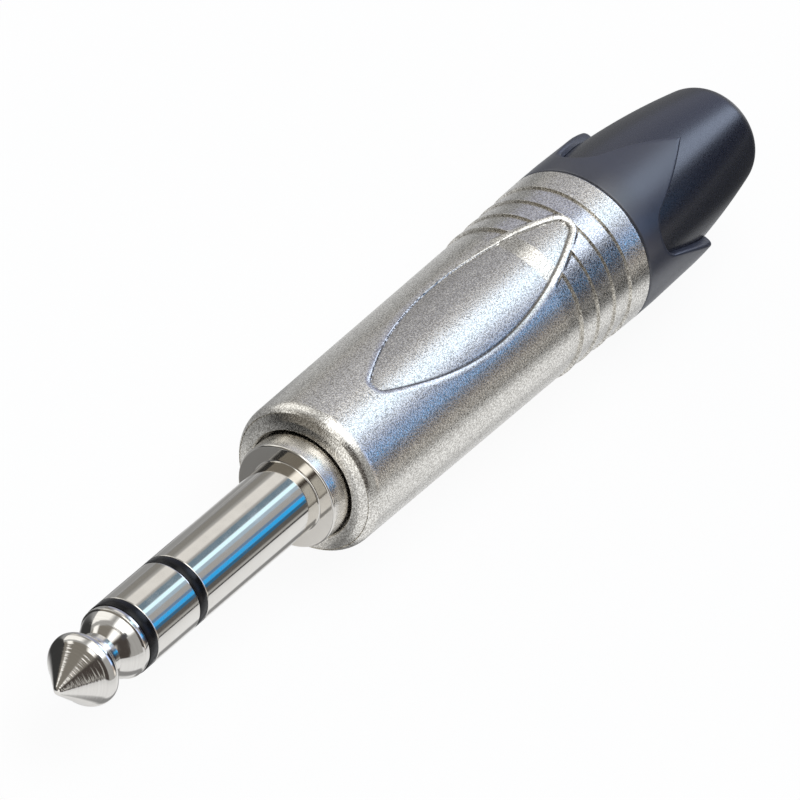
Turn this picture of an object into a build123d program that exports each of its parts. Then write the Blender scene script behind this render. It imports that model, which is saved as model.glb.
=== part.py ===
from build123d import *
from math import asin, atan, cos, hypot, pi, radians, sin, tan
import os

# Stereo jack plug, 6.35 mm, with a screw-on cable gland.
# X runs along the plug towards its tip, Z is up, sizes in millimetres.
# The origin is the centre of the shoulder where the finger meets its collar.

# Clearances
press_gap = 0.02        # pieces pressed, riveted or moulded together
running_gap = 0.05      # radial play where one piece turns in another
insert_gap = 0.1        # radial play of what slides into the shell
seam_gap = 0.05         # between end faces that are screwed together

# Plug finger
finger_r = 3.175
sleeve_length = 15.4
insulator_length = 1.1
ring_length = 5.7
collar_step = 1.425     # collar above the finger
collar_length = 4.3
collar_chamfer = 0.12
flange_seat = 0.6       # least width of the seat behind the collar
flange_length = 1.8
edge_chamfer = 0.06

# Tip head: lengths forward from its rear face, drops below the finger's radius
head_length = 8.25
bead_drop = 0.155
bead_width = 0.45
bead_chamfer = 0.2
neck_drop = 1.175
neck_start = 2.35
neck_end = 3.05
ball_start = 3.95
ball_start_drop = 0.275
ball_peak = 4.55
ball_edge = 5.6
ball_edge_drop = 0.555
point_r = 0.55

# Coaxial core of the finger
rod_r = 0.8
inner_tube_wall = 0.45
ring_tube_wall = 0.6
outer_tube_wall = 0.5

# Terminals and washers riveted behind the flange
ground_tag_thick = 0.8
ground_washer_thick = 1.0
ring_tag_thick = 0.7
ring_washer_thick = 0.8
tip_tag_thick = 0.6
rivet_head_thick = 0.8
rivet_head_lip = 0.7
tip_disc_lip = 1.7
washer_lip = 0.1        # washers reach past the disc they insulate
tag_gap = 0.15          # air between a washer and the solder tag outside it
ground_tag_length = 12.0
ground_tag_width = 3.6
signal_tag_width = 2.2
ring_tag_length = 8.0
tip_tag_length = 5.5
solder_hole_r = 0.6
ring_tag_angle = 120
tip_tag_angle = 240

# Shell: lengths from its ends, rises from one radius to the next
shell_setback = 2.0     # its front face behind the shoulder
shell_length = 39.65
taper_rise = 0.26
ramp_rise = 0.18
crest_rise = 0.19
rear_wall = 1.1
front_round = 1.05
rear_chamfer = 0.2
collar_gap = 0.18
front_bore_chamfer = 0.15
thread_step = 0.55      # thread's bore above the shell's main bore
thread_runout = 0.4
keyway_width = 1.4
keyway_step = 0.4

# Stepped ribs, from the shell's rear
rib_count = 4
rib_land = 2.65
rib_pitch = 2.28
rib_lead = 1.7
rib_depth = 0.17
rib_step = 0.22
apron_width = 0.8

# Oval recess
oval_setback = 6.9      # its front end behind the shell's front face
oval_length = 27.7
oval_width = 7.5
oval_end_r = 0.9
oval_depth = 0.4

# Liner and chuck
liner_wall = 0.6
chuck_length = 14.8
chuck_ring_length = 2.0
chuck_play = 0.4        # chuck's bore above the boot's
nose_wall = 0.4
chuck_taper = 2.7
chuck_slots = 4
chuck_slot_width = 0.9
tooth_depth = 0.3
tooth_pitch = 1.2
tooth_count = 5
key_width = 1.2

# Gland
thread_length = 5.6
thread_lead = 0.5
core_wall = 1.2         # from the thread's crest to the spigot's bore
rim_length = 2.55       # from the shell to the bottom of the valleys
seat_setback = 0.85
hub_length = 1.85       # solid ring in front of the boot
hub_wall = 0.9
petal_length = 8.9
petal_taper = 0.2
petal_count = 4
petal_turn = -6         # clock position from the oval, about +X
shoulder_depth = 1.6    # rounded bottom of a valley, along the plug
shoulder_angle = 18.5   # half angle of a valley at that depth
valley_mid_depth = 5.8
valley_mid_angle = 33

# Boot
boot_length = 20.65     # visible and hidden, from the shell to its end
boot_wall = 0.78
boot_mid = 12.65
boot_mid_drop = 0.58
boot_round = 1.45
boot_shoulder = 0.9
boot_bore_r = 3.5
boot_lip = 0.45
boot_funnel = 5.0

# Stations along the plug
ring_rear = sleeve_length + insulator_length
ring_front = ring_rear + ring_length
head_rear = ring_front + insulator_length
flange_front = -collar_length
flange_rear = flange_front - flange_length
ground_rear = flange_rear - ground_tag_thick
ground_washer_rear = ground_rear - ground_washer_thick
ring_tag_rear = ground_washer_rear - ring_tag_thick
ring_washer_rear = ring_tag_rear - ring_washer_thick
tip_tag_rear = ring_washer_rear - tip_tag_thick
rod_rear = tip_tag_rear - rivet_head_thick
shell_front = -shell_setback
shell_rear = shell_front - shell_length
thread_end = shell_rear + thread_length + thread_runout
rib_grooves = [shell_rear + rib_land + index * rib_pitch for index in reversed(range(rib_count))]
crest_start = rib_grooves[0]
rib_start = crest_start + rib_lead
gland_front = shell_rear - seam_gap
hub_rear = gland_front - hub_length
seat_front = gland_front - seat_setback
seat_rear = seat_front - chuck_taper
chuck_front = seat_rear + chuck_length
liner_rear = chuck_front + seam_gap
petal_root = gland_front - rim_length
petal_tip = petal_root - petal_length
boot_rear = gland_front - boot_length

# Radii, from the core outwards
inner_tube_bore = rod_r + press_gap
inner_tube_r = inner_tube_bore + inner_tube_wall
ring_tube_bore = inner_tube_r + press_gap
ring_tube_r = ring_tube_bore + ring_tube_wall
outer_tube_bore = ring_tube_r + press_gap
outer_tube_r = outer_tube_bore + outer_tube_wall
sleeve_bore = outer_tube_r + press_gap
collar_r = finger_r + collar_step
front_bore_r = collar_r + collar_gap
rivet_head_r = rod_r + rivet_head_lip
tip_disc_r = rod_r + tip_disc_lip
ring_washer_r = tip_disc_r + washer_lip
ring_disc_r = ring_washer_r + tag_gap + ring_tag_thick
ground_washer_r = ring_disc_r + washer_lip
ground_disc_r = ground_washer_r + tag_gap + ground_tag_thick
liner_bore = hypot(ground_disc_r, ground_tag_width / 2) + running_gap
liner_r = max(liner_bore + liner_wall, front_bore_r + flange_seat)
bore_r = liner_r + insert_gap
thread_r = bore_r + thread_step
keyway_r = bore_r + keyway_step
crest_r = thread_r - running_gap
spigot_bore = crest_r - core_wall
chuck_r = spigot_bore - insert_gap
chuck_bore_r = boot_bore_r + chuck_play
chuck_nose_r = chuck_bore_r + nose_wall
key_r = keyway_r - running_gap
hub_r = spigot_bore + hub_wall
rear_r = thread_r + rear_wall
crest_zone_r = rear_r - crest_rise
rib_zone_r = crest_zone_r - ramp_rise
front_r = rib_zone_r - taper_rise
petal_end_r = rear_r - petal_taper
boot_front_r = hub_r + boot_wall
boot_mid_r = boot_front_r - boot_mid_drop
boot_end_r = boot_bore_r + boot_lip
boot_curve_end_r = boot_end_r + boot_shoulder
boot_curve_end = boot_length - boot_round


def lathe(*points):
    """Solid turned about the X axis from a closed outline of (x, radius) points."""
    return revolve(make_face(Polyline(*points, close=True)), Axis.X)


def lathe_curves(*curves):
    """Solid turned about the X axis from an outline with arcs in it."""
    return revolve(make_face(Curve() + list(curves)), Axis.X)


def tube(rear, front, outer, inner):
    """Plain tube along X."""
    return lathe((rear, inner), (front, inner), (front, outer), (rear, outer))


def turned_about(shape, angle):
    """The shape turned about the plug's axis."""
    return Rot(angle, 0, 0) * shape


def tip_contact():
    """Head, neck and centre rod, turned in one piece and riveted at the rear."""
    def at(distance, radius):
        return (head_rear + distance, radius)

    bead_r = finger_r - bead_drop
    neck_r = finger_r - neck_drop
    ball_start_r = finger_r - ball_start_drop
    ball_edge_r = finger_r - ball_edge_drop
    centre = head_length - point_r
    reach = hypot(centre - ball_edge, ball_edge_r)
    slope = atan(ball_edge_r / (centre - ball_edge)) - asin(point_r / reach)
    half_turn = (pi / 2 - slope) / 2
    cone_end = at(centre + point_r * sin(slope), point_r * cos(slope))
    point_side = at(centre + point_r * cos(half_turn), point_r * sin(half_turn))
    rod = Polyline(
        at(head_length, 0),
        (rod_rear, 0),
        (rod_rear, rivet_head_r),
        (tip_tag_rear - press_gap, rivet_head_r),
        (tip_tag_rear - press_gap, rod_r),
        at(0, rod_r),
        at(0, bead_r - bead_chamfer),
        at(bead_chamfer, bead_r),
        at(bead_width, bead_r),
        at(neck_start, neck_r),
        at(neck_end, neck_r),
        at(ball_start, ball_start_r),
    )
    rise = TangentArc(at(ball_peak, finger_r), at(ball_start, ball_start_r), tangent=(-1, 0))
    fall = TangentArc(at(ball_peak, finger_r), at(ball_edge, ball_edge_r), tangent=(1, 0))
    cone = Line(at(ball_edge, ball_edge_r), cone_end)
    point = ThreePointArc(cone_end, point_side, at(head_length, 0))
    return lathe_curves(rod, rise, fall, cone, point)


def insulator(rear, front, bore):
    """Black ring between two contacts, ground flush with them."""
    return tube(rear + press_gap, front - press_gap, finger_r, bore)


def ring_contact():
    """Barrel and inner tube, turned in one piece."""
    return lathe(
        (ring_tag_rear, ring_tube_bore),
        (ring_front, ring_tube_bore),
        (ring_front, finger_r - edge_chamfer),
        (ring_front - edge_chamfer, finger_r),
        (ring_rear + edge_chamfer, finger_r),
        (ring_rear, finger_r - edge_chamfer),
        (ring_rear, ring_tube_r),
        (ring_tag_rear, ring_tube_r),
    )


def sleeve_contact():
    """Finger shaft, collar and flange, turned in one piece and bored through."""
    return lathe(
        (flange_rear, sleeve_bore),
        (sleeve_length, sleeve_bore),
        (sleeve_length, finger_r - edge_chamfer),
        (sleeve_length - edge_chamfer, finger_r),
        (0, finger_r),
        (0, collar_r - collar_chamfer),
        (-collar_chamfer, collar_r),
        (flange_front, collar_r),
        (flange_front, liner_r),
        (flange_rear, liner_r),
    )


def solder_tag(length, width, thick, outer_z, angle):
    """Strip that runs back along the plug from a terminal's disc, with a solder hole."""
    strip = Pos(-length / 2, 0, -outer_z + thick / 2) * Box(length, width, thick)
    corners = strip.edges().filter_by(Axis.Z).group_by(Axis.X)[0]
    strip = fillet(corners, width / 3)
    hole = Pos(-length + width / 2, 0, -outer_z) * Cylinder(solder_hole_r, 4 * thick)
    return turned_about(strip - hole, angle)


def terminal(front, thick, disc_r, bore, length, width, angle):
    """Punched disc on the riveted core with one solder tag bent backwards."""
    disc = tube(front - thick, front, disc_r, 0)
    tag = Pos(front, 0, 0) * solder_tag(length, width, thick, disc_r, angle)
    return disc + tag - tube(front - 2 * thick, front + thick, bore, 0)


def shell_envelope(x):
    """Outside radius of the shell's rear, over the crests of the ribs."""
    share = (crest_start - x) / (crest_start - shell_rear)
    return crest_zone_r + share * (rear_r - crest_zone_r)


def shell_blank():
    """Tapered casting before the ribs and the oval are cut."""
    outside = Polyline(
        (shell_front - front_round, front_r),
        (rib_start, rib_zone_r),
        (crest_start, crest_zone_r),
        (shell_rear + rear_chamfer, rear_r),
        (shell_rear, rear_r - rear_chamfer),
        (shell_rear, thread_r),
        (thread_end, thread_r),
        (thread_end, bore_r),
        (flange_front + press_gap, bore_r),
        (flange_front + press_gap, front_bore_r),
        (shell_front - front_bore_chamfer, front_bore_r),
        (shell_front, front_bore_r + front_bore_chamfer),
        (shell_front, front_r - front_round),
    )
    diagonal = front_round * sin(radians(45))
    nose = ThreePointArc(
        (shell_front, front_r - front_round),
        (shell_front - front_round + diagonal, front_r - front_round + diagonal),
        (shell_front - front_round, front_r),
    )
    return lathe_curves(outside, nose)


def oval(border):
    """Pointed oval with rounded ends, as a face in the XY plane."""
    sharp_half = oval_length / 2 + oval_end_r
    half_width = oval_width / 2
    radius = (sharp_half**2 + half_width**2) / (2 * half_width)
    offset_y = radius - half_width
    lens = Pos(0, -offset_y) * Circle(radius) & Pos(0, offset_y) * Circle(radius)
    lens = fillet(lens.vertices(), oval_end_r)
    if border:
        lens = offset(lens, border)
    return Pos(shell_front - oval_setback - oval_length / 2, 0, 0) * lens


def rib_cutter():
    """Rings of saw-tooth section whose front walls are the steps of the ribs."""
    clear = 0.5
    first = rib_grooves[0]
    rings = [
        lathe(
            (rib_start, rib_zone_r + clear),
            (rib_start, rib_zone_r),
            (first, rib_zone_r - rib_depth / 4),
            (first - rib_step, shell_envelope(first - rib_step)),
            (first - rib_step, rear_r + clear),
        )
    ]
    for before, groove in zip(rib_grooves, rib_grooves[1:]):
        crest = before - rib_step
        rings.append(
            lathe(
                (crest, rear_r + clear),
                (crest, shell_envelope(crest) + press_gap),
                (groove, shell_envelope(groove) - rib_depth),
                (groove - rib_step, shell_envelope(groove - rib_step) + press_gap),
                (groove - rib_step, rear_r + clear),
            )
        )
    apron = extrude(oval(apron_width), 2 * rear_r)
    return [ring - apron for ring in rings]


def shell():
    """Die-cast shell with stepped ribs that stop at the border of an oval recess."""
    body = shell_blank()
    for ring in rib_cutter():
        body = body - ring
    floor = lathe(
        (0, 0),
        (0, front_r - oval_depth),
        (shell_front, front_r - oval_depth),
        (rib_start, rib_zone_r - oval_depth),
        (crest_start, crest_zone_r - oval_depth),
        (shell_rear, rear_r - oval_depth),
        (shell_rear, 0),
    )
    body = body - (extrude(oval(0), 2 * rear_r) - floor)
    length = chuck_front + insert_gap - thread_end
    for side in (-1, 1):
        keyway = Box(length, keyway_r, keyway_width)
        body = body - Pos(thread_end + length / 2, side * keyway_r / 2, 0) * keyway
    return body


def chuck():
    """Slotted collet with gripping teeth; keys stop it turning in the shell."""
    body = lathe(
        (seat_rear, chuck_bore_r),
        (chuck_front, chuck_bore_r),
        (chuck_front, liner_r),
        (chuck_front - chuck_ring_length, liner_r),
        (chuck_front - chuck_ring_length, chuck_r),
        (seat_front, chuck_r),
        (seat_rear, chuck_nose_r),
    )
    for tooth in range(tooth_count):
        base = seat_rear + (tooth + 0.5) * tooth_pitch
        body = body + lathe(
            (base, chuck_bore_r + press_gap),
            (base + tooth_pitch / 2, chuck_bore_r - tooth_depth),
            (base + tooth_pitch / 2 + press_gap, chuck_bore_r + press_gap),
        )
    slot_length = chuck_length - 2 * chuck_ring_length
    for slot in range(chuck_slots):
        cut = Box(slot_length, chuck_slot_width, 2 * chuck_r)
        cut = Pos(seat_rear + slot_length / 2, 0, chuck_r) * cut
        body = body - turned_about(cut, (slot + 0.5) * 360 / chuck_slots)
    key_height = key_r - chuck_r
    for side in (-1, 1):
        key = Box(chuck_ring_length, key_height, key_width)
        key_x = chuck_front - chuck_ring_length / 2
        body = body + Pos(key_x, side * (key_r - key_height / 2), 0) * key
    return body


def boot_curve(extra):
    """Outside of the boot as an arc, let out by a clearance."""
    return ThreePointArc(
        (gland_front, boot_front_r + extra),
        (gland_front - boot_mid, boot_mid_r + extra),
        (gland_front - boot_curve_end, boot_curve_end_r + extra),
    )


def valley():
    """Space between two petals, with walls that point at the plug's axis."""
    inner_z = boot_curve_end_r * cos(pi / petal_count)
    outer_z = rear_r + 1
    sections = []
    for z in (inner_z, outer_z):
        shoulder = z * tan(radians(shoulder_angle))
        middle = z * tan(radians(valley_mid_angle))
        end = z * tan(pi / petal_count)
        start_x = petal_root - shoulder_depth
        middle_x = petal_root - valley_mid_depth
        outline = Curve() + [
            ThreePointArc((start_x, shoulder), (petal_root, 0), (start_x, -shoulder)),
            ThreePointArc((start_x, shoulder), (middle_x, middle), (petal_tip, end)),
            ThreePointArc((start_x, -shoulder), (middle_x, -middle), (petal_tip, -end)),
            Polyline((petal_tip, end), (petal_tip - 1, end), (petal_tip - 1, -end), (petal_tip, -end)),
        ]
        sections.append(Pos(0, 0, z) * make_face(outline))
    return loft(sections, ruled=True)


def gland():
    """Screw-on nut: spigot, conical seat for the chuck, rim and long petals."""
    curve = boot_curve(press_gap)
    skin = lathe_curves(
        curve,
        Polyline(
            curve @ 1,
            (petal_tip - 1, 2 * rear_r),
            (gland_front, 2 * rear_r),
            curve @ 0,
        ),
    )
    outside = lathe(
        (petal_tip, 0),
        (petal_tip, petal_end_r),
        (petal_root, rear_r),
        (gland_front, rear_r),
        (gland_front, 0),
    )
    petals = outside & skin
    for index in range(petal_count):
        angle = petal_turn + (index + 0.5) * 360 / petal_count
        petals = petals - turned_about(valley(), angle)
    core = lathe(
        (gland_front + thread_length, spigot_bore),
        (gland_front + thread_length, crest_r - thread_lead),
        (gland_front + thread_length - thread_lead, crest_r),
        (gland_front, crest_r),
        (gland_front, rear_r),
        (hub_rear, rear_r),
        (hub_rear, hub_r),
        (seat_rear, hub_r),
        (seat_rear, chuck_nose_r + insert_gap),
        (seat_front, spigot_bore),
    )
    return petals + core


def boot():
    """Flexible nose moulded into the gland, with a funnel and the cable passage."""
    curve = boot_curve(0)
    end = TangentArc(curve @ 1, (boot_rear, boot_end_r), tangent=curve % 1)
    inside = Polyline(
        (boot_rear, boot_end_r),
        (boot_rear, boot_bore_r),
        (seat_rear - seam_gap - boot_funnel, boot_bore_r),
        (seat_rear - seam_gap, chuck_nose_r + insert_gap),
        (seat_rear - seam_gap, hub_r + press_gap),
        (gland_front, hub_r + press_gap),
        curve @ 0,
    )
    front = tube(hub_rear - press_gap, gland_front + 1, 2 * rear_r, 0)
    return lathe_curves(curve, end, inside) - front


parts = {
    "tip_contact": tip_contact(),
    "front_insulator": insulator(ring_front, head_rear, rod_r + press_gap),
    "ring_contact": ring_contact(),
    "middle_insulator": insulator(sleeve_length, ring_rear, ring_tube_r + press_gap),
    "sleeve_contact": sleeve_contact(),
    "inner_tube": tube(ring_tag_rear, ring_front, inner_tube_r, inner_tube_bore),
    "outer_tube": tube(ground_rear, sleeve_length, outer_tube_r, outer_tube_bore),
    "ground_terminal": terminal(
        flange_rear - press_gap,
        ground_tag_thick - press_gap,
        ground_disc_r,
        outer_tube_r + press_gap,
        ground_tag_length,
        ground_tag_width,
        0,
    ),
    "ground_washer": tube(
        ground_washer_rear, ground_rear - press_gap, ground_washer_r, ring_tube_r + press_gap
    ),
    "ring_terminal": terminal(
        ground_washer_rear - press_gap,
        ring_tag_thick - press_gap,
        ring_disc_r,
        ring_tube_r + press_gap,
        ring_tag_length,
        signal_tag_width,
        ring_tag_angle,
    ),
    "ring_washer": tube(
        ring_washer_rear, ring_tag_rear - press_gap, ring_washer_r, rod_r + press_gap
    ),
    "tip_terminal": terminal(
        ring_washer_rear - press_gap,
        tip_tag_thick - press_gap,
        tip_disc_r,
        rod_r + press_gap,
        tip_tag_length,
        signal_tag_width,
        tip_tag_angle,
    ),
    "shell": shell(),
    "liner": tube(liner_rear, flange_rear - seam_gap, liner_r, liner_r - liner_wall),
    "chuck": chuck(),
    "gland": gland(),
    "boot": boot(),
}

os.makedirs("parts", exist_ok=True)
for name, shape in parts.items():
    export_step(shape, f"parts/{name}.step")
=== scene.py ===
from math import atan2, cos, hypot, pi, radians, sin, sqrt, tan

import bmesh
import bpy
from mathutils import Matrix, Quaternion, Vector


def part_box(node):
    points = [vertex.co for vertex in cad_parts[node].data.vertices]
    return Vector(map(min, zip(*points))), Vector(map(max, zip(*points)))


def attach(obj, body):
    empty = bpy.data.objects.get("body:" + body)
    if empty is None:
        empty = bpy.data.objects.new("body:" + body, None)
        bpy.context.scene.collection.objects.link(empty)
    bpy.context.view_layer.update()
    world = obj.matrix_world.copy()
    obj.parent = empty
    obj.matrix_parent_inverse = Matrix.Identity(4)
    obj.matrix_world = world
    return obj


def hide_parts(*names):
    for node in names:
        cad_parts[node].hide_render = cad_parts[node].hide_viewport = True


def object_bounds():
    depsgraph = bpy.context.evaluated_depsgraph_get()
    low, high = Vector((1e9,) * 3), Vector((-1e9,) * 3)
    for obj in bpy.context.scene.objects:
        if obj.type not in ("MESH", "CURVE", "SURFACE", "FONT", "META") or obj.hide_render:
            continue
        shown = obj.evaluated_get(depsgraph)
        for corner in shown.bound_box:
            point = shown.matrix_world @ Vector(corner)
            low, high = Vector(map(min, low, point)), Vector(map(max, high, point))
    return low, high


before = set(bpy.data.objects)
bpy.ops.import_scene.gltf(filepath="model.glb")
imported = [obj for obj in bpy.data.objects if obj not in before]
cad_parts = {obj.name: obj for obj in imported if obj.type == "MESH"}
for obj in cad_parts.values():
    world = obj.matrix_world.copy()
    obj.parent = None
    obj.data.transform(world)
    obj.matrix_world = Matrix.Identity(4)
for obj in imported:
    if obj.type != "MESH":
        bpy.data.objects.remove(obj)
cad_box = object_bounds()

# Sleeve contact: the finger's shaft, its collar and the flange that seats in the shell.
# It is turned from one brass bar, bored for the contacts inside it, ground smooth,
# and plated with bright nickel.
mm = 0.001
sleeve_low, sleeve_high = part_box("sleeve_contact")
finger_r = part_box("ring_contact")[1].y
outer_tube_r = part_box("outer_tube")[1].y
flange_r = sleeve_high.y
flange_front = -4.3 * mm
collar_r = 4.6 * mm
press_gap = 0.02 * mm
edge_round = 0.07 * mm
root_round = 0.12 * mm
collar_round = 0.14 * mm
flat_hold = 0.06 * mm
merge_distance = 0.002 * mm
sharp_angle = radians(32)


def rounded(corners, segments=5, hold=0.0):
    """Outline through (x, radius, fillet) corners, with each filleted corner made an arc.

    Past each arc, a point at the hold's distance keeps the next face flat in its shading.
    """
    points = []
    for index, (x, r, fillet) in enumerate(corners):
        here = Vector((x, r))
        if not fillet:
            points.append((x, r))
            continue
        before = (Vector(corners[index - 1][:2]) - here).normalized()
        after = (Vector(corners[(index + 1) % len(corners)][:2]) - here).normalized()
        half = before.angle(after) / 2
        centre = here + (before + after).normalized() * fillet / sin(half)
        first = here + before * fillet / tan(half) - centre
        last = here + after * fillet / tan(half) - centre
        if hold:
            points.append(tuple(centre + first + before * hold))
        start = atan2(first.y, first.x)
        turn = (atan2(last.y, last.x) - start + pi) % (2 * pi) - pi
        for step in range(segments + 1):
            angle = start + turn * step / segments
            points.append((centre.x + fillet * cos(angle), centre.y + fillet * sin(angle)))
        if hold:
            points.append(tuple(centre + last + after * hold))
    return points


def turned(outline, steps=192):
    """Mesh spun about X from (x, radius) points, closed unless its ends lie on the axis."""
    bm = bmesh.new()
    verts = [bm.verts.new((x, 0, r)) for x, r in outline]
    run = verts if outline[0][1] == outline[-1][1] == 0 else verts + verts[:1]
    edges = [bm.edges.new(pair) for pair in zip(run, run[1:])]
    bmesh.ops.spin(
        bm, geom=verts + edges, axis=(1, 0, 0), angle=2 * pi, steps=steps, use_merge=True
    )
    bmesh.ops.remove_doubles(bm, verts=bm.verts, dist=merge_distance)
    bmesh.ops.recalc_face_normals(bm, faces=bm.faces)
    return bm


def piece(name, bm, material, body, node):
    """The mesh as a shaded object that stands for a CAD node and rides on its body."""
    data = bpy.data.meshes.new(name)
    bm.to_mesh(data)
    bm.free()
    data.shade_smooth()
    data.set_sharp_from_angle(angle=sharp_angle)
    data.materials.append(material)
    obj = bpy.data.objects.new(name, data)
    bpy.context.scene.collection.objects.link(obj)
    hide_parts(node)
    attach(obj, body)
    return obj


def principled(name, color, metallic, roughness):
    """A new material with its Principled shader, its links and its node list."""
    material = bpy.data.materials.new(name)
    material.use_nodes = True
    tree = material.node_tree
    shader = tree.nodes["Principled BSDF"]
    shader.inputs["Base Color"].default_value = (*color, 1)
    shader.inputs["Metallic"].default_value = metallic
    shader.inputs["Roughness"].default_value = roughness
    return material, tree, shader


def value_group(name, *inputs):
    """An empty shader group with float inputs and one float output called Value."""
    group = bpy.data.node_groups.new(name, "ShaderNodeTree")
    for label in inputs:
        group.interface.new_socket(label, in_out="INPUT", socket_type="NodeSocketFloat")
    group.interface.new_socket("Value", in_out="OUTPUT", socket_type="NodeSocketFloat")
    return group, group.nodes.new("NodeGroupInput"), group.nodes.new("NodeGroupOutput")


def placed(tree, group, **values):
    """The group as a node in a material, with its own input values."""
    node = tree.nodes.new("ShaderNodeGroup")
    node.node_tree = group
    for label, value in values.items():
        node.inputs[label].default_value = value
    return node


def ranged(tree, source, low, high, from_low=0.0, from_high=1.0):
    """A Map Range node from a value to a new range."""
    node = tree.nodes.new("ShaderNodeMapRange")
    node.inputs["From Min"].default_value = from_low
    node.inputs["From Max"].default_value = from_high
    node.inputs["To Min"].default_value = low
    node.inputs["To Max"].default_value = high
    tree.links.new(source, node.inputs["Value"])
    return node.outputs["Result"]


def bumped(tree, shader, height, depth):
    """Bump of a depth in metres on the shader's normal."""
    node = tree.nodes.new("ShaderNodeBump")
    node.inputs["Strength"].default_value = 1.0
    node.inputs["Distance"].default_value = depth
    tree.links.new(height, node.inputs["Height"])
    tree.links.new(node.outputs["Normal"], shader.inputs["Normal"])


def blended(tree, factor, first, second):
    """Colour mix of two constant colours by a mask."""
    node = tree.nodes.new("ShaderNodeMix")
    node.data_type = "RGBA"
    node.inputs["A"].default_value = (*first, 1)
    node.inputs["B"].default_value = (*second, 1)
    tree.links.new(factor, node.inputs["Factor"])
    return node.outputs["Result"]


# Tool lines: fine rings that a lathe or a grinding wheel leaves round the plug.
tool_lines, source, result = value_group("tool_lines", "Lines per metre")
where = tool_lines.nodes.new("ShaderNodeTexCoord")
split = tool_lines.nodes.new("ShaderNodeSeparateXYZ")
along = tool_lines.nodes.new("ShaderNodeMath")
along.operation = "MULTIPLY"
lines = tool_lines.nodes.new("ShaderNodeTexNoise")
lines.noise_dimensions = "1D"
lines.inputs["Scale"].default_value = 1.0
lines.inputs["Detail"].default_value = 3.0
tool_lines.links.new(where.outputs["Object"], split.inputs["Vector"])
tool_lines.links.new(split.outputs["X"], along.inputs[0])
tool_lines.links.new(source.outputs["Lines per metre"], along.inputs[1])
tool_lines.links.new(along.outputs["Value"], lines.inputs["W"])
tool_lines.links.new(lines.outputs["Fac"], result.inputs["Value"])

# Speckle: fine grain of a plated casting or of a spark-eroded mould.
speckle, source, result = value_group("speckle", "Grains per metre", "Contrast")
where = speckle.nodes.new("ShaderNodeTexCoord")
grain = speckle.nodes.new("ShaderNodeTexNoise")
grain.inputs["Detail"].default_value = 2.0
grain.inputs["Roughness"].default_value = 0.6
lift = speckle.nodes.new("ShaderNodeMath")
lift.operation = "SUBTRACT"
lift.inputs[1].default_value = 0.5
spread = speckle.nodes.new("ShaderNodeMath")
spread.operation = "MULTIPLY_ADD"
spread.inputs[2].default_value = 0.5
spread.use_clamp = True
speckle.links.new(where.outputs["Object"], grain.inputs["Vector"])
speckle.links.new(source.outputs["Grains per metre"], grain.inputs["Scale"])
speckle.links.new(grain.outputs["Fac"], lift.inputs[0])
speckle.links.new(lift.outputs["Value"], spread.inputs[0])
speckle.links.new(source.outputs["Contrast"], spread.inputs[1])
speckle.links.new(spread.outputs["Value"], result.inputs["Value"])

nickel = (0.80, 0.775, 0.73)
worn_nickel = (0.77, 0.74, 0.69)
satin_end = -0.12 * mm
satin_start = -0.3 * mm
satin_grain = 0.0025 * mm

bright_nickel, tree, shader = principled("bright_nickel", nickel, 1.0, 0.08)
haze = placed(tree, speckle, **{"Grains per metre": 700, "Contrast": 2.0})
tree.links.new(
    blended(tree, haze.outputs["Value"], nickel, worn_nickel), shader.inputs["Base Color"]
)
place = tree.nodes.new("ShaderNodeTexCoord")
parts = tree.nodes.new("ShaderNodeSeparateXYZ")
tree.links.new(place.outputs["Object"], parts.inputs["Vector"])
on_collar = ranged(tree, parts.outputs["X"], 1.0, 0.0, satin_start, satin_end)
grit = placed(tree, speckle, **{"Grains per metre": 8000, "Contrast": 4.0})
satin = tree.nodes.new("ShaderNodeMix")
tree.links.new(on_collar, satin.inputs["Factor"])
tree.links.new(ranged(tree, haze.outputs["Value"], 0.05, 0.11), satin.inputs["A"])
tree.links.new(ranged(tree, grit.outputs["Value"], 0.12, 0.30), satin.inputs["B"])
tree.links.new(satin.outputs["Result"], shader.inputs["Roughness"])
relief = tree.nodes.new("ShaderNodeMix")
relief.inputs["A"].default_value = 0.5
tree.links.new(on_collar, relief.inputs["Factor"])
tree.links.new(grit.outputs["Value"], relief.inputs["B"])
bumped(tree, shader, relief.outputs["Result"], satin_grain)

sleeve = turned(rounded([
    (sleeve_low.x, outer_tube_r + press_gap, 0),
    (sleeve_high.x, outer_tube_r + press_gap, 0),
    (sleeve_high.x, finger_r, edge_round),
    (0, finger_r, root_round),
    (0, collar_r, collar_round),
    (flange_front, collar_r, 0),
    (flange_front, flange_r, edge_round),
    (sleeve_low.x, flange_r, edge_round),
], hold=flat_hold))
piece("sleeve_turning", sleeve, bright_nickel, "plug", "sleeve_contact")

# Ring contact: barrel and the tube that carries its signal back to its solder tag.
# It is turned in one piece, plated like the sleeve and held off it by a black ring.
ring_low, ring_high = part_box("ring_contact")
barrel_length = 5.7 * mm
barrel_rear = ring_high.x - barrel_length
inner_tube_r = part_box("inner_tube")[1].y
ring_tube_r = outer_tube_r - 0.5 * mm - press_gap

ring = turned(rounded([
    (ring_low.x, inner_tube_r + press_gap, 0),
    (ring_high.x, inner_tube_r + press_gap, 0),
    (ring_high.x, finger_r, edge_round),
    (barrel_rear, finger_r, edge_round),
    (barrel_rear, ring_tube_r, 0),
    (ring_low.x, ring_tube_r, 0),
], hold=flat_hold))
piece("ring_turning", ring, bright_nickel, "plug", "ring_contact")

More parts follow.
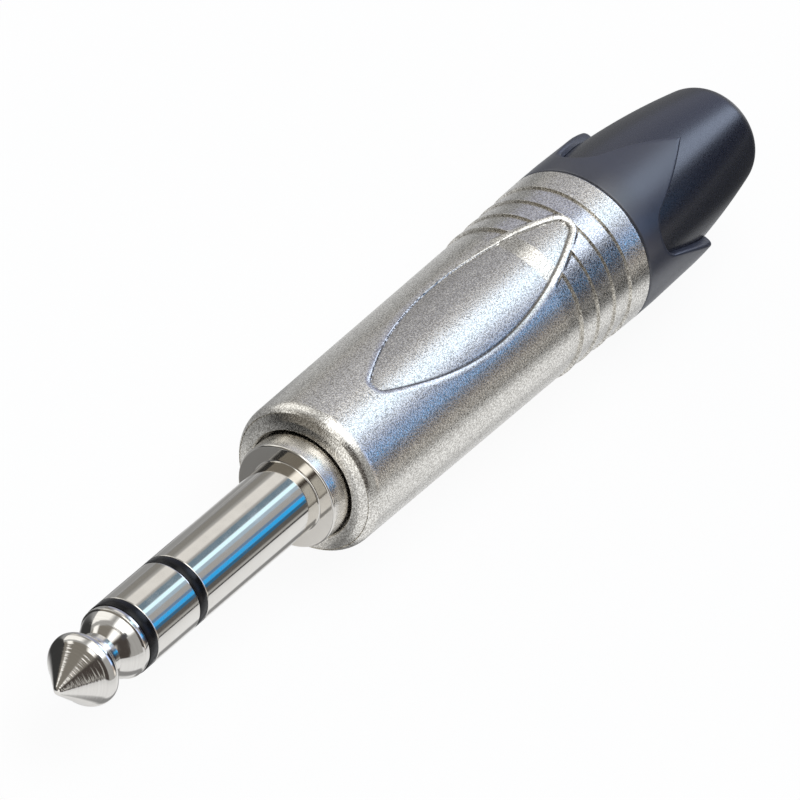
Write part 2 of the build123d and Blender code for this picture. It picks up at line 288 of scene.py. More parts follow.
# Tip contact: head with its neck and ball, and the rod through the whole finger.
# It is turned in one piece, left with fine tool rings, plated, and riveted at the rear.
tip_low, tip_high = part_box("tip_contact")
head_rear = ring_high.x + 1.1 * mm
rod_r = 0.8 * mm
rivet_head_r = 1.5 * mm
rivet_front = tip_low.x + 0.78 * mm
point_r = 0.55 * mm
bead = Vector((0.55, 3.12)) * mm
bead_round = 0.06 * mm
neck_rear = Vector((0.66, 2.98)) * mm
neck_fall = radians(-17)
neck_start = Vector((2.35, 2.0)) * mm
neck_end = Vector((3.05, 2.0)) * mm
neck_round = 0.3 * mm
ball_start = Vector((3.95, 2.9)) * mm
ball_peak = Vector((4.55 * mm, finger_r))
ball_edge = Vector((5.6, 2.62)) * mm


def tangent_arc(start, tangent, end, count=8):
    """Points after the start on the arc that leaves along a tangent and meets the end."""
    normal = Vector((-tangent[1], tangent[0]))
    chord = end - start
    radius = chord.length_squared / (2 * chord.dot(normal))
    centre = start + normal * radius
    first = atan2(*(start - centre).yx)
    turn = (atan2(*(end - centre).yx) - first + pi) % (2 * pi) - pi
    reach = abs(radius)
    angles = [first + turn * step / count for step in range(1, count + 1)]
    return [(centre.x + reach * cos(a), centre.y + reach * sin(a)) for a in angles]


point_centre = tip_high.x - head_rear - point_r
reach = hypot(point_centre - ball_edge.x, ball_edge.y)
slope = atan2(ball_edge.y, point_centre - ball_edge.x) - atan2(
    point_r, sqrt(reach**2 - point_r**2)
)
cone_end = Vector((point_centre + point_r * sin(slope), point_r * cos(slope)))
nose_end = Vector((point_centre + point_r, 0))
nose = tangent_arc(cone_end, (cos(slope), -sin(slope)), nose_end, 6)
rise = tangent_arc(ball_peak, (-1, 0), ball_start)
fall = tangent_arc(ball_peak, (1, 0), ball_edge)
head = rounded([
    (0, rod_r, 0),
    (0, bead.y, bead_round),
    (*bead, bead_round),
    (*neck_rear, 0),
])
head += tangent_arc(neck_rear, (cos(neck_fall), sin(neck_fall)), neck_start)
head += rounded([(*neck_start, 0), (*neck_end, neck_round), (*ball_start, 0)])[1:-1]
head += rise[::-1] + [tuple(ball_peak)] + fall + [tuple(cone_end)] + nose[:-1]
tip_outline = [
    (tip_low.x, 0),
    (tip_low.x, rivet_head_r),
    (rivet_front, rivet_head_r),
    (rivet_front, rod_r),
]
tip_outline += [(head_rear + x, r) for x, r in head] + [(tip_high.x, 0)]

cone_start = head_rear + ball_edge.x
ring_relief = 0.011 * mm

tip_nickel, tree, shader = principled("tip_nickel", nickel, 1.0, 0.1)
rings = placed(tree, tool_lines, **{"Lines per metre": 6500})
haze = placed(tree, speckle, **{"Grains per metre": 1500, "Contrast": 2.5})
place = tree.nodes.new("ShaderNodeTexCoord")
parts = tree.nodes.new("ShaderNodeSeparateXYZ")
tree.links.new(place.outputs["Object"], parts.inputs["Vector"])
on_cone = ranged(
    tree, parts.outputs["X"], 0.12, 1.0, cone_start - 0.1 * mm, cone_start + 0.2 * mm
)
relief = tree.nodes.new("ShaderNodeMath")
relief.operation = "MULTIPLY"
tree.links.new(rings.outputs["Value"], relief.inputs[0])
tree.links.new(on_cone, relief.inputs[1])
tree.links.new(ranged(tree, haze.outputs["Value"], 0.07, 0.14), shader.inputs["Roughness"])
tree.links.new(
    blended(tree, rings.outputs["Value"], (0.82, 0.80, 0.76), (0.74, 0.71, 0.67)),
    shader.inputs["Base Color"],
)
bumped(tree, shader, relief.outputs["Value"], ring_relief)
tip = turned(tip_outline)
piece("tip_turning", tip, tip_nickel, "plug", "tip_contact")

# Insulating rings: glossy black plastic moulded between the contacts and ground flush.
# They keep tip, ring and sleeve apart, and show as two black bands on the finger.
gloss_black = (0.006, 0.006, 0.007)
insulator_black, tree, shader = principled("insulator_black", gloss_black, 0.0, 0.22)
smear = placed(tree, speckle, **{"Grains per metre": 2500, "Contrast": 2.0})
tree.links.new(ranged(tree, smear.outputs["Value"], 0.15, 0.32), shader.inputs["Roughness"])
shader.inputs["Specular IOR Level"].default_value = 0.2
bumped(tree, shader, smear.outputs["Value"], 0.0005 * mm)

for name, bore in (("front_insulator", rod_r), ("middle_insulator", ring_tube_r)):
    low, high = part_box(name)
    band = turned(rounded([
        (low.x, bore + press_gap, 0),
        (high.x, bore + press_gap, 0),
        (high.x, high.y, press_gap),
        (low.x, high.y, press_gap),
    ], 2))
    piece(name + "_band", band, insulator_black, "plug", name)

# Insulating tubes: two thin black sleeves between the nested contacts.
# They run the length of the finger and stay hidden inside it.
for name in ("inner_tube", "outer_tube"):
    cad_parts[name].material_slots[0].material = insulator_black

# Solder terminals: punched brass discs with one tag each, tinned for soldering.
# They are riveted on the rear of the core, one for each contact.
tinned_brass, tree, shader = principled("tinned_brass", (0.72, 0.70, 0.64), 1.0, 0.35)
flow = placed(tree, speckle, **{"Grains per metre": 900, "Contrast": 2.5})
tree.links.new(ranged(tree, flow.outputs["Value"], 0.22, 0.48), shader.inputs["Roughness"])
tree.links.new(
    blended(tree, flow.outputs["Value"], (0.74, 0.72, 0.67), (0.64, 0.61, 0.53)),
    shader.inputs["Base Color"],
)
bumped(tree, shader, flow.outputs["Value"], 0.004 * mm)
for name in ("ground_terminal", "ring_terminal", "tip_terminal"):
    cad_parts[name].material_slots[0].material = tinned_brass

# Washers: discs of brown paper laminate that hold the terminals apart.
laminate, tree, shader = principled("laminate", (0.30, 0.15, 0.07), 0.0, 0.6)
fibre = placed(tree, speckle, **{"Grains per metre": 4000, "Contrast": 3.0})
tree.links.new(
    blended(tree, fibre.outputs["Value"], (0.34, 0.18, 0.08), (0.22, 0.10, 0.05)),
    shader.inputs["Base Color"],
)
bumped(tree, shader, fibre.outputs["Value"], 0.005 * mm)
for name in ("ground_washer", "ring_washer"):
    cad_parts[name].material_slots[0].material = laminate

# Shell: zinc die casting, bead blasted and plated with pearl nickel, with four stepped
# ribs that run out at the border of a long pointed oval recess. The rear half of its
# bore takes the gland's thread, and the sleeve's flange seats behind its front wall.
shell_low, shell_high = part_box("shell")
shell_front, shell_rear = shell_high.x, shell_low.x
rear_r = 7.247 * mm
crest_zone_r = 7.057 * mm
rib_zone_r = 6.877 * mm
front_r = 6.617 * mm
front_bore_r = 4.78 * mm
rim_length = 1.1 * mm
rim_fall = 0.42 * mm
rim_groove = 0.09 * mm
face_length = 0.5 * mm
face_bulge = 0.07 * mm
bore_r = 5.597 * mm
thread_r = 6.147 * mm
thread_end = shell_rear + 6.0 * mm
rib_pitch = 2.28 * mm
rib_step = 0.015 * mm
rib_depth = 0.17 * mm
rib_grooves = [shell_rear + 2.65 * mm + index * rib_pitch for index in (3, 2, 1, 0)]
crest_start = rib_grooves[0]
rib_start = crest_start + 1.7 * mm
rib_round = 0.015 * mm
apron = 0.42 * mm
apron_fade = 0.3 * mm
oval_x = shell_front - 20.75 * mm
oval_half_length = 14.75 * mm
oval_half_width = 3.75 * mm
oval_end_r = 0.9 * mm
oval_depth = 0.24 * mm
shoulder_width = 0.5 * mm
shoulder_drop = 0.10 * mm
oval_wall = 0.06 * mm
# Painted shade on the shell's plating: a dark line along the oval's wall, and shade on the
# floor's side away from the light, deepest at its front end.
crease_width = 0.1 * mm
crease_fade = 1.6
wall_line_shade = 0.3
lit_wall_line_shade = 0.6
floor_shade = 0.26
front_end_shade = 0.35
side_fade = 2 * mm
shaded_end_start = 12.2 * mm
riser_margin = 0.2 * mm
riser_hold = 0.06 * mm
bore_bevel = 0.15 * mm
lip_round = 0.03 * mm
face_round = 0.8 * mm
rear_round = 0.2 * mm
rear_band = 0.25 * mm
fine_half = radians(40)


def smooth(share):
    """Soft step from 0 to 1."""
    share = min(max(share, 0), 1)
    return share * share * (3 - 2 * share)


def between(x, stations):
    """Straight interpolation through (x, value) stations in falling order of x."""
    for (x1, v1), (x2, v2) in zip(stations, stations[1:]):
        if x >= x2:
            return v1 + (v2 - v1) * (x1 - x) / (x1 - x2)
    return stations[-1][1]


def oval_distance(x, y):
    """Distance in plan from the oval's rim, negative inside it."""
    radius = (oval_half_length**2 + oval_half_width**2) / (2 * oval_half_width)
    offset = radius - oval_half_width
    radius -= oval_end_r
    point_x = sqrt(radius**2 - offset**2)
    x, y = abs(x - oval_x), abs(y)
    if x * offset > (y + offset) * point_x:
        return hypot(x - point_x, y) - oval_end_r
    return hypot(x, y + offset) - radius - oval_end_r


blank = [
    (shell_front, front_r),
    (rib_start, rib_zone_r),
    (crest_start, crest_zone_r),
    (shell_rear, rear_r),
]
ribbed = [(shell_front, front_r), (rib_start, rib_zone_r)]
for index, groove in enumerate(rib_grooves):
    drop = rib_depth if index else crest_zone_r - rib_zone_r + rib_depth / 4
    crest = groove - rib_step
    ribbed.append((groove, between(groove, blank) - drop))
    ribbed.append((crest, between(crest, blank) - rib_round))
    ribbed.append((crest - rib_round, between(crest - rib_round, blank)))
ribbed.append((shell_rear, rear_r))


def shell_drop(x, y, z):
    """How far the shell's skin lies below its plain outline."""
    distance = oval_distance(x, y) if z > 0 else 1
    ribs = between(x, blank) - between(x, ribbed)
    ribs *= smooth((distance - apron) / apron_fade)
    shoulder = min(max(1 - distance / shoulder_width, 0), 1) ** 2 * shoulder_drop
    return ribs + shoulder + (oval_depth - shoulder_drop) * smooth(-distance / oval_wall)


rim_front = shell_front - face_length
rim_back = rim_front - rim_length
rim_r = front_r - rim_fall
bore_edge_r = front_bore_r + bore_bevel
face_middle = (rim_front + shell_front) / 2 + face_bulge
edge_x = shell_rear + rear_band
rows = 300
skin_x = {rim_back + (edge_x - rim_back) * row / rows for row in range(1, rows)}
for groove in rib_grooves:
    skin_x -= {x for x in skin_x if abs(x - groove) < riser_margin}
    skin_x |= {groove + riser_margin, groove + riser_hold, groove}
    skin_x |= {groove - rib_step, groove - rib_step - rib_round, groove - riser_margin}
outline = rounded([
    (shell_rear, thread_r, 0),
    (thread_end, thread_r, 0),
    (thread_end, bore_r, 0),
    (flange_front + press_gap, bore_r, 0),
    (flange_front + press_gap, front_bore_r, 0),
    (shell_front - bore_bevel, front_bore_r, lip_round),
    (shell_front, bore_edge_r, lip_round),
    (face_middle, (bore_edge_r + rim_r) / 2, face_round),
    (rim_front, rim_r - rim_groove, 0),
    (rim_front - rim_groove, rim_r - rim_groove / 2, 0),
], 4)
rim_end = Vector((rim_back, between(rim_back, blank)))
outline += tangent_arc(rim_end, (1, 0), Vector((rim_front, rim_r)))[::-1] + [tuple(rim_end)]
outline += [(x, between(x, blank)) for x in sorted(skin_x, reverse=True)]
outline += rounded([
    (edge_x, rear_r, 0),
    (shell_rear, rear_r, rear_round),
    (shell_rear, thread_r, 0),
])[:-1]
bm = bmesh.new()
verts = [bm.verts.new((x, r * sin(fine_half), r * cos(fine_half))) for x, r in outline]
edges = [bm.edges.new(pair) for pair in zip(verts, verts[1:] + verts[:1])]
ends = verts + edges
for sweep, steps in ((2 * pi - 2 * fine_half, 60), (2 * fine_half, 200)):
    turn = bmesh.ops.spin(bm, geom=ends, axis=(1, 0, 0), angle=-sweep, steps=steps)
    ends = turn["geom_last"]
bmesh.ops.remove_doubles(bm, verts=bm.verts, dist=merge_distance)
# The skin is pressed in along the ribs and the oval. Painted shade darkens the plating in a
# line along the oval's wall, stronger on the lit side, and on the side of its floor that
# lies away from the light, deepest at its front end.
painted_shade = bm.verts.layers.float.new("painted_shade")
for vert in bm.verts:
    x, y, z = vert.co
    radius = hypot(y, z)
    if z > 0 and radius > rib_zone_r - oval_depth:
        distance = oval_distance(x, y)
        lit_side = smooth(y / side_fade + 0.5)
        front_end = smooth((x - oval_x - shaded_end_start) / mm)
        line = smooth(crease_fade - abs(distance + crease_width / 2) / crease_width)
        line *= wall_line_shade + lit_wall_line_shade * lit_side
        floor = smooth(-distance / oval_wall) * (1 - lit_side)
        floor *= floor_shade + front_end_shade * front_end
        vert[painted_shade] = max(line, floor)
    if edge_x <= x < rim_back and radius > rib_zone_r - oval_depth:
        scale = (between(x, blank) - shell_drop(x, y, z)) / radius
        vert.co = (x, y * scale, z * scale)
bmesh.ops.recalc_face_normals(bm, faces=bm.faces)

pearl_nickel, tree, shader = principled("pearl_nickel", (0.70, 0.685, 0.655), 1.0, 0.28)
sparkle = placed(tree, speckle, **{"Grains per metre": 7600, "Contrast": 5.0})
patches = placed(tree, speckle, **{"Grains per metre": 5200, "Contrast": 3.0})
plating = blended(tree, sparkle.outputs["Value"], (0.47, 0.448, 0.412), (1.0, 0.975, 0.915))
# Painted shade: the shell's vertex attribute mixes the plating towards dark grey-brown
# along the oval's wall and on the shaded side of its floor.
shade_attribute = tree.nodes.new("ShaderNodeAttribute")
shade_attribute.attribute_name = "painted_shade"
shaded_plating = tree.nodes.new("ShaderNodeMix")
shaded_plating.data_type = "RGBA"
shaded_plating.inputs["B"].default_value = (0.17, 0.16, 0.15, 1)
tree.links.new(shade_attribute.outputs["Fac"], shaded_plating.inputs["Factor"])
tree.links.new(plating, shaded_plating.inputs["A"])
tree.links.new(shaded_plating.outputs["Result"], shader.inputs["Base Color"])
mottled = ranged(tree, patches.outputs["Value"], 0.16, 0.30)
tree.links.new(mottled, shader.inputs["Roughness"])
bumped(tree, shader, sparkle.outputs["Value"], 0.004 * mm)
piece("shell_casting", bm, pearl_nickel, "plug", "shell")

# Liner: a pale plastic tube between the flange and the chuck. It insulates the solder
# tags from the shell, and passes the gland's thrust on to the flange.
liner_white, tree, shader = principled("liner_white", (0.72, 0.71, 0.67), 0.0, 0.45)
mould = placed(tree, speckle, **{"Grains per metre": 3000, "Contrast": 2.0})
tree.links.new(ranged(tree, mould.outputs["Value"], 0.35, 0.55), shader.inputs["Roughness"])
bumped(tree, shader, mould.outputs["Value"], 0.003 * mm)
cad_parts["liner"].material_slots[0].material = liner_white

# Chuck: a slotted collet with rows of teeth, moulded in tough pale plastic.
# The gland's cone closes it on the cable, and its two keys stop it from turning.
chuck_ivory, tree, shader = principled("chuck_ivory", (0.80, 0.78, 0.72), 0.0, 0.4)
mould = placed(tree, speckle, **{"Grains per metre": 3500, "Contrast": 2.0})
tree.links.new(ranged(tree, mould.outputs["Value"], 0.3, 0.5), shader.inputs["Roughness"])
bumped(tree, shader, mould.outputs["Value"], 0.003 * mm)
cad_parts["chuck"].material_slots[0].material = chuck_ivory

# Gland: a screw-on nut in slate-coloured nylon. A threaded spigot goes into the shell,
# and four leaf-shaped petals reach back over the boot, with deep valleys between them.
gland_low, gland_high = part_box("gland")
gland_front = shell_rear - 0.05 * mm
hub_rear = gland_front - 1.85 * mm
petal_root = gland_front - 2.55 * mm
petal_tip = gland_low.x + 0.6 * mm
petal_end_r = rear_r - 0.2 * mm
petal_round = 0.5 * mm
petal_centre = 6
boot_gap = 0.02 * mm
crest_r = thread_r - 0.05 * mm
spigot_bore = crest_r - 1.2 * mm
hub_r = 5.797 * mm
nose_r = 4.3 * mm
seat_front = gland_front - 0.85 * mm
seat_rear = gland_front - 3.55 * mm
thread_pitch = 1.25 * mm
thread_depth = 0.55 * mm
valley_edge = [(0, 0), (18.5, 1.6), (33, 5.6), (45, 8.3)]
spigot_round = 0.1 * mm
spigot_bevel = 0.5 * mm
hub_round = 0.18 * mm
petal_lip_round = 0.08 * mm
thread_start = gland_front + 0.3 * mm
thread_run_in = 0.5 * mm
plane_margin = 0.01 * mm
longest_petal = 9 * mm
thread_width = 0.2
thread_flank = 1.6


def circle_through(a, b, c):
    """Centre and radius of the circle through three points."""
    ab, ac = b - a, c - a
    cross = 2 * (ab.x * ac.y - ab.y * ac.x)
    x = (ac.y * ab.length_squared - ab.y * ac.length_squared) / cross
    y = (ab.x * ac.length_squared - ac.x * ab.length_squared) / cross
    return a + Vector((x, y)), hypot(x, y)


boot_front_r = hub_r + 0.78 * mm
boot_curve_end = Vector((gland_front - 19.2 * mm, 4.72 * mm))
boot_centre, boot_radius = circle_through(
    Vector((gland_front, boot_front_r)),
    Vector((gland_front - 12.65 * mm, boot_front_r - 0.74 * mm)),
    boot_curve_end,
)


def boot_skin(x):
    """Radius of the boot's outside, which the petals follow."""
    return boot_centre.y + sqrt(boot_radius**2 - (x - boot_centre.x) ** 2)


def petal_skin(x):
    """Radius of the gland's outside."""
    drop = (petal_end_r - rear_r) * max(petal_root - x, 0)
    return rear_r + drop / (petal_root - petal_tip)


shoulder = circle_through(*[
    Vector((depth * mm, side * rear_r * tan(radians(angle))))
    for side, (angle, depth) in (
        (-1, valley_edge[1]), (0, valley_edge[0]), (1, valley_edge[1])
    )
])
flank = circle_through(*[
    Vector((depth * mm, rear_r * tan(radians(angle)))) for angle, depth in valley_edge[1:]
])


def petal_end(angle):
    """Where the gland ends at an angle from the middle of a valley."""
    across = rear_r * tan(radians(angle))
    centre, radius = shoulder if angle < valley_edge[1][0] else flank
    reach = sqrt(max(radius**2 - (across - centre.y) ** 2, 0))
    depths = [centre.x - reach, centre.x + reach]
    guess = [d for d in depths if -plane_margin <= d <= longest_petal]
    return petal_root - min(guess, key=abs) if guess else petal_root


rows = 16
inside = [petal_tip + (hub_rear - petal_tip) * row / rows for row in range(rows + 1)]
outline = rounded([
    (gland_high.x, spigot_bore, spigot_round),
    (gland_high.x, crest_r - spigot_bevel, spigot_round),
    (gland_high.x - spigot_bevel, crest_r, spigot_round),
    (gland_front, crest_r, 0),
    (gland_front, rear_r, hub_round),
    (petal_root, rear_r, 0),
    (petal_tip, petal_end_r, petal_round),
    (petal_tip, boot_skin(petal_tip) + boot_gap, petal_lip_round),
] + [(x, boot_skin(x) + boot_gap, 0) for x in inside[1:]] + [
    (hub_rear, hub_r, 0),
    (seat_rear, hub_r, 0),
    (seat_rear, nose_r + 0.1 * mm, 0),
    (seat_front, spigot_bore, 0),
])
bm = bmesh.new()
start = radians(petal_centre)
verts = [bm.verts.new((x, r * sin(start), r * cos(start))) for x, r in outline]
edges = [bm.edges.new(pair) for pair in zip(verts, verts[1:] + verts[:1])]
petal_edge = max(
    (e for e in edges if max(v.co.x for v in e.verts) < hub_rear),
    key=lambda e: e.calc_length(),
)
spigot_edge = max(
    (e for e in edges if min(v.co.x for v in e.verts) > gland_front - plane_margin),
    key=lambda e: min(v.co.yz.length for v in e.verts) * e.calc_length(),
)
bmesh.ops.subdivide_edges(bm, edges=[petal_edge], cuts=rows)
bmesh.ops.subdivide_edges(bm, edges=[spigot_edge], cuts=60)
bmesh.ops.spin(
    bm, geom=list(bm.verts) + list(bm.edges), axis=(1, 0, 0), angle=2 * pi, steps=360,
    use_merge=True,
)
bmesh.ops.remove_doubles(bm, verts=bm.verts, dist=merge_distance)
for vert in bm.verts:
    x, y, z = vert.co
    radius = hypot(y, z)
    turn = atan2(y, z)
    new_x, new_r = x, radius
    if x < hub_rear - plane_margin and radius > boot_skin(x):
        end = petal_end(abs((turn * 180 / pi - petal_centre) % 90 - 45))
        thickness = (radius - boot_skin(x)) / (petal_skin(x) - boot_skin(x))
        if x < petal_tip + petal_round:
            new_x = x + end - petal_tip
        else:
            share = (hub_rear - x) / (hub_rear - petal_tip - petal_round)
            new_x = hub_rear - share * (hub_rear - end - petal_round)
        new_r = boot_skin(new_x) + thickness * (petal_skin(new_x) - boot_skin(new_x))
    elif thread_start < x < gland_high.x - spigot_round and radius > spigot_bore + mm / 2:
        phase = (x / thread_pitch + turn / (2 * pi)) % 1
        groove = smooth(thread_flank - abs(phase - 0.5) / thread_width)
        groove *= smooth((x - thread_start) / thread_run_in)
        new_r = min(radius, crest_r - thread_depth * groove)
    vert.co = (new_x, new_r * sin(turn), new_r * cos(turn))
bmesh.ops.recalc_face_normals(bm, faces=bm.faces)

slate_nylon, tree, shader = principled("slate_nylon", (0.020, 0.023, 0.034), 0.0, 0.36)
etch = placed(tree, speckle, **{"Grains per metre": 8000, "Contrast": 2.0})
tree.links.new(
    blended(tree, etch.outputs["Value"], (0.013, 0.016, 0.032), (0.021, 0.026, 0.048)),
    shader.inputs["Base Color"],
)
tree.links.new(ranged(tree, etch.outputs["Value"], 0.28, 0.40), shader.inputs["Roughness"])
shader.inputs["IOR"].default_value = 1.6
shader.inputs["Specular IOR Level"].default_value = 0.95
bumped(tree, shader, etch.outputs["Value"], 0.003 * mm)
piece("gland_nut", bm, slate_nylon, "gland", "gland")

# Boot: the flexible black nose that is moulded into the gland under its petals.
# It tapers in one long curve to a rounded end with the hole for the cable.
boot_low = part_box("boot")[0]
boot_bore_r = 3.5 * mm
boot_end_r = 3.95 * mm
boot_front = hub_rear - press_gap
curve_x = [boot_front + (boot_curve_end.x - boot_front) * row / 40 for row in range(41)]
skin = [(x, boot_skin(x)) for x in curve_x]
radial = (boot_curve_end - boot_centre).normalized()
skin += tangent_arc(
    boot_curve_end, (-radial.y, radial.x), Vector((boot_low.x, boot_end_r)), 12
)
funnel_front = seat_rear - 0.05 * mm
boot_outline = skin + rounded([
    (boot_low.x, boot_bore_r, 0.12 * mm),
    (funnel_front - 5 * mm, boot_bore_r, 0),
    (funnel_front, nose_r + 0.1 * mm, 0),
    (funnel_front, hub_r + press_gap, 0),
    (boot_front, hub_r + press_gap, 0),
])

boot_rubber, tree, shader = principled("boot_rubber", (0.008, 0.009, 0.015), 0.0, 0.30)
etch = placed(tree, speckle, **{"Grains per metre": 6000, "Contrast": 2.0})
tree.links.new(
    blended(tree, etch.outputs["Value"], (0.003, 0.004, 0.011), (0.006, 0.008, 0.018)),
    shader.inputs["Base Color"],
)
tree.links.new(ranged(tree, etch.outputs["Value"], 0.24, 0.34), shader.inputs["Roughness"])
shader.inputs["IOR"].default_value = 1.6
shader.inputs["Specular IOR Level"].default_value = 1.0
bumped(tree, shader, etch.outputs["Value"], 0.002 * mm)
piece("boot_nose", turned(boot_outline), boot_rubber, "gland", "boot")

# Floor and studio: a plain pale sheet under the plug, and a soft white studio round it. The
# sheet and the studio are white to the camera. The metal reflects the studio's long panels
# and the sheet, on which painted shade falls off to grey on its far side and painted
# shadows of the plug lie beside it.
sheet_r = 0.6
bm = bmesh.new()
bmesh.ops.create_circle(bm, cap_ends=True, segments=96, radius=sheet_r)
bmesh.ops.translate(bm, verts=bm.verts, vec=(0, 0, cad_box[0].z))
data = bpy.data.meshes.new("floor")
bm.to_mesh(data)
bm.free()
floor = bpy.data.objects.new("floor", data)
bpy.context.scene.collection.objects.link(floor)

# Window: 1 where a value lies within a half width of a centre, with soft ends.
window, source, result = value_group("window", "Value", "Centre", "Half width", "Fade")
away = window.nodes.new("ShaderNodeMath")
away.operation = "SUBTRACT"
size = window.nodes.new("ShaderNodeMath")
size.operation = "ABSOLUTE"
inner = window.nodes.new("ShaderNodeMath")
inner.operation = "SUBTRACT"
edge = window.nodes.new("ShaderNodeMapRange")
edge.interpolation_type = "SMOOTHSTEP"
edge.inputs["To Min"].default_value = 1.0
edge.inputs["To Max"].default_value = 0.0
outer = window.nodes.new("ShaderNodeMath")
outer.operation = "ADD"
window.links.new(source.outputs["Value"], away.inputs[0])
window.links.new(source.outputs["Centre"], away.inputs[1])
window.links.new(away.outputs["Value"], size.inputs[0])
for node, target in ((inner, "From Min"), (outer, "From Max")):
    window.links.new(source.outputs["Half width"], node.inputs[0])
    window.links.new(source.outputs["Fade"], node.inputs[1])
    window.links.new(node.outputs["Value"], edge.inputs[target])
window.links.new(size.outputs["Value"], edge.inputs["Value"])
window.links.new(edge.outputs["Result"], result.inputs["Value"])

camera_glow = 0.93
mirrored_glow = 0.45

# Painted shade and painted shadows that the metal sees on the sheet, as tones from far to
# near: each with its middle, half length and fade along the plug, the same across it, all
# in millimetres, and its tone. The dark patches beside the finger, the collar and the shell
# are painted shadows of the plug, and the grey far side, front and rear are painted shade.
painted_shadow_tones = [
    (0, 900, 10, -511.5, 500, 8.5, 0.58),
    (478, 500, 6, -511, 500, 5, 0.36),
    (452, 500, 6, -537, 500, 6, 0.36),
    (0, 900, 10, 537.5, 500, 32.5, 0.85),
    (515, 500, 6, -508, 500, 4, 0.05),
    (-560, 500, 8, -508, 500, 4, 0.32),
    (8, 6, 2, -6.5, 4, 1.5, 0.24),
    (12, 20, 3, 6.3, 2.0, 0.8, 0.33),
    (-36, 27, 3, 10.2, 1.6, 1.2, 0.6),
    (-562, 500, 8, 500, 500, 10, 0.08),
]

pale_sheet = bpy.data.materials.new("pale_sheet")
pale_sheet.use_nodes = True
nodes, links = pale_sheet.node_tree.nodes, pale_sheet.node_tree.links
nodes.clear()
lit = nodes.new("ShaderNodeBsdfDiffuse")
white = nodes.new("ShaderNodeEmission")
rays = nodes.new("ShaderNodeLightPath")
where = nodes.new("ShaderNodeTexCoord")
split = nodes.new("ShaderNodeSeparateXYZ")
links.new(where.outputs["Object"], split.inputs["Vector"])
shade = None
for x, half_x, fade_x, y, half_y, fade_y, value in painted_shadow_tones:
    mask = nodes.new("ShaderNodeMath")
    mask.operation = "MULTIPLY"
    sides = (("X", x, half_x, fade_x), ("Y", y, half_y, fade_y))
    for slot, (axis, middle, half, fade) in enumerate(sides):
        inside = placed(pale_sheet.node_tree, window, **{
            "Centre": middle * mm, "Half width": half * mm, "Fade": fade * mm,
        })
        links.new(split.outputs[axis], inside.inputs["Value"])
        links.new(inside.outputs["Value"], mask.inputs[slot])
    mix = nodes.new("ShaderNodeMix")
    mix.inputs["A"].default_value = 1.0
    mix.inputs["B"].default_value = value
    links.new(mask.outputs["Value"], mix.inputs["Factor"])
    if shade:
        links.new(shade, mix.inputs["A"])
    shade = mix.outputs["Result"]
# Only glossy rays see the painted shade and painted shadows; all other rays see the sheet
# plain white.
tone = nodes.new("ShaderNodeMix")
tone.inputs["A"].default_value = 1.0
links.new(rays.outputs["Is Glossy Ray"], tone.inputs["Factor"])
links.new(shade, tone.inputs["B"])
links.new(tone.outputs["Result"], white.inputs["Color"])
links.new(tone.outputs["Result"], lit.inputs["Color"])
seen = nodes.new("ShaderNodeMath")
seen.operation = "MULTIPLY"
seen.inputs[1].default_value = camera_glow
shown = nodes.new("ShaderNodeMath")
shown.operation = "MULTIPLY_ADD"
shown.inputs[1].default_value = mirrored_glow
links.new(rays.outputs["Is Camera Ray"], seen.inputs[0])
links.new(rays.outputs["Is Glossy Ray"], shown.inputs[0])
links.new(seen.outputs["Value"], shown.inputs[2])
both = nodes.new("ShaderNodeMixShader")
out = nodes.new("ShaderNodeOutputMaterial")
links.new(shown.outputs["Value"], both.inputs["Fac"])
links.new(lit.outputs["BSDF"], both.inputs[1])
links.new(white.outputs["Emission"], both.inputs[2])
links.new(both.outputs["Shader"], out.inputs["Surface"])
data.materials.append(pale_sheet)

# Each panel: its angle from straight up towards +Y with half its width and its fade, in
# degrees, how far forward it lies with half its length, and its colour.
panels = [
    (-90, 22, 6, -0.8, 0.3, (0.27, 0.265, 0.25)),
    (-42, 17, 4, -0.8, 0.3, (0.88, 0.87, 0.85)),
    (-9, 9, 3, -0.8, 0.3, (0.17, 0.25, 0.32)),
    (7, 6, 2, -0.8, 0.3, (0.95, 1.30, 1.5)),
    (18, 5, 2, -0.8, 0.3, (0.42, 0.54, 0.66)),
    (70, 14, 3, -0.8, 0.3, (0.12, 0.115, 0.11)),
    (44, 4, 2, -0.8, 0.3, (0.15, 0.26, 0.42)),
    (65, 4, 2, -0.8, 0.3, (0.03, 0.15, 0.30)),
    (54, 6, 2, -0.8, 0.3, (0.04, 0.48, 1.05)),
    (-82, 15, 6, -0.56, 0.07, (0.75, 0.73, 0.7)),
    (-14, 14, 5, -0.56, 0.07, (1.4, 1.35, 1.25)),
    (45, 17, 4, -0.56, 0.07, (0.75, 0.95, 1.5)),
    (72, 12, 4, -0.56, 0.07, (0.55, 0.46, 0.4)),
    (86, 9, 4, -0.56, 0.07, (1.1, 1.05, 0.98)),
    (-42, 16, 5, -0.56, 0.07, (0.3, 0.3, 0.3)),
    (-78, 18, 6, -0.9, 0.2, (0.44, 0.46, 0.58)),
    (-36, 24, 6, -0.9, 0.2, (0.36, 0.39, 0.54)),
    (12, 24, 8, -0.9, 0.2, (1.6, 1.85, 2.4)),
    (57, 29, 4, -0.9, 0.2, (0.03, 0.028, 0.04)),
    (3, 24, 8, -0.07, 0.45, (2.3, 2.35, 2.4)),
    (-70, 30, 8, -0.2, 0.25, (1.2, 1.2, 1.18)),
    (0, 100, 6, 0.65, 0.4, (0.24, 0.225, 0.2)),
    (60, 45, 8, 0.65, 0.4, (0.07, 0.06, 0.055)),
    (58, 28, 8, 0.66, 0.025, (0.8, 0.8, 0.77)),
    (-73, 8, 3, 0.35, 0.15, (1.3, 1.3, 1.27)),
    (-4, 14, 7, 0.52, 0.2, (1.5, 1.5, 1.48)),
    (45, 60, 8, 0.97, 0.09, (1.3, 1.3, 1.28)),
    (22, 8, 3, 0.27, 0.12, (0.08, 0.08, 0.09)),
]
panel_end_fade = 0.015
studio_grey = (0.42, 0.42, 0.415)

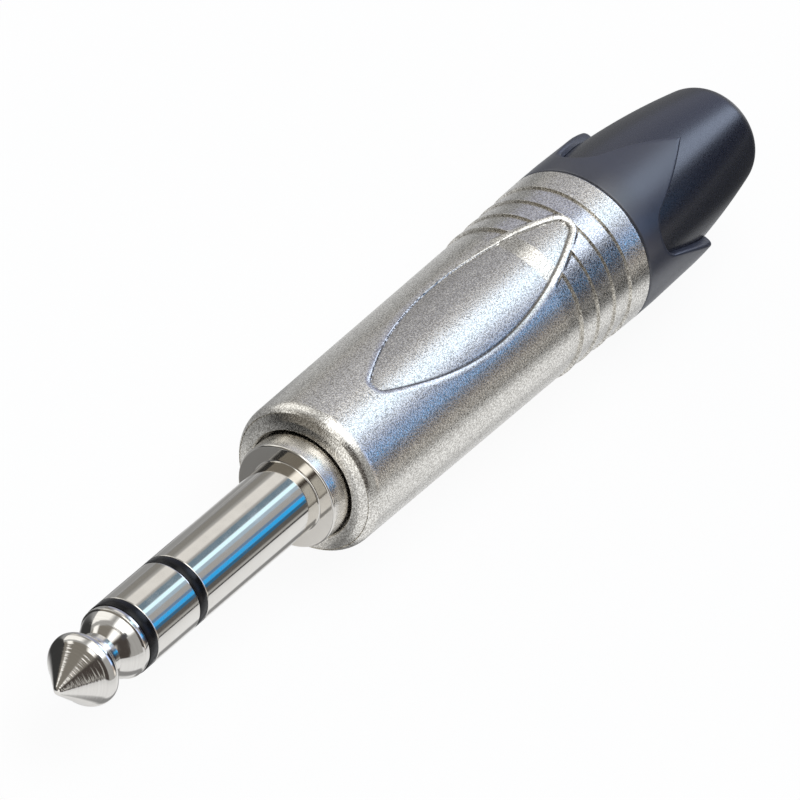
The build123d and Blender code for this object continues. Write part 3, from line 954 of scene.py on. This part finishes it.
world = bpy.data.worlds.new("studio")
bpy.context.scene.world = world
world.use_nodes = True
tree = world.node_tree
nodes, links = tree.nodes, tree.links
nodes.clear()
where = nodes.new("ShaderNodeTexCoord")
split = nodes.new("ShaderNodeSeparateXYZ")
around = nodes.new("ShaderNodeMath")
around.operation = "ARCTAN2"
links.new(where.outputs["Generated"], split.inputs["Vector"])
links.new(split.outputs["Y"], around.inputs[0])
links.new(split.outputs["Z"], around.inputs[1])
tint = nodes.new("ShaderNodeRGB")
tint.outputs["Color"].default_value = (*studio_grey, 1)
studio = tint.outputs["Color"]
for angle, half_width, fade, forward, half_length, color in panels:
    turn_mask = placed(tree, window, **{
        "Centre": radians(angle), "Half width": radians(half_width), "Fade": radians(fade),
    })
    length_mask = placed(tree, window, **{
        "Centre": forward, "Half width": half_length, "Fade": panel_end_fade,
    })
    mask = nodes.new("ShaderNodeMath")
    mask.operation = "MULTIPLY"
    mix = nodes.new("ShaderNodeMix")
    mix.data_type = "RGBA"
    mix.inputs["B"].default_value = (*color, 1)
    links.new(around.outputs["Value"], turn_mask.inputs["Value"])
    links.new(split.outputs["X"], length_mask.inputs["Value"])
    links.new(turn_mask.outputs["Value"], mask.inputs[0])
    links.new(length_mask.outputs["Value"], mask.inputs[1])
    links.new(mask.outputs["Value"], mix.inputs["Factor"])
    links.new(studio, mix.inputs["A"])
    studio = mix.outputs["Result"]
soft = nodes.new("ShaderNodeBackground")
backdrop = nodes.new("ShaderNodeBackground")
backdrop.inputs["Color"].default_value = (1, 1, 1, 1)
rays = nodes.new("ShaderNodeLightPath")
clear = nodes.new("ShaderNodeMath")
clear.operation = "MAXIMUM"
both = nodes.new("ShaderNodeMixShader")
out = nodes.new("ShaderNodeOutputWorld")
links.new(studio, soft.inputs["Color"])
links.new(rays.outputs["Is Camera Ray"], clear.inputs[0])
links.new(rays.outputs["Is Transmission Ray"], clear.inputs[1])
links.new(clear.outputs["Value"], both.inputs["Fac"])
links.new(soft.outputs["Background"], both.inputs[1])
links.new(backdrop.outputs["Background"], both.inputs[2])
links.new(both.outputs["Shader"], out.inputs["Surface"])

# Camera: a long lens, so the plug's two sides stay almost parallel, tilted so that the
# plug runs from lower left to upper right.
aim = Vector((-16.098, 0.031, -0.010)) * mm
towards_camera = Vector((0.68076, 0.22656, 0.69659))
camera_distance = 1.08273
focal_length_mm = 611.2
roll = radians(24.03)
lens = bpy.data.cameras.new("camera")
lens.sensor_fit = "HORIZONTAL"
lens.sensor_width = 36
lens.lens = focal_length_mm
camera = bpy.data.objects.new("camera", lens)
camera.location = aim + towards_camera * camera_distance
look = (-towards_camera).to_track_quat("-Z", "Y")
camera.rotation_euler = (look @ Quaternion((0, 0, 1), roll)).to_euler()
bpy.context.scene.collection.objects.link(camera)
bpy.context.scene.camera = camera
bpy.context.scene.view_settings.view_transform = "Standard"
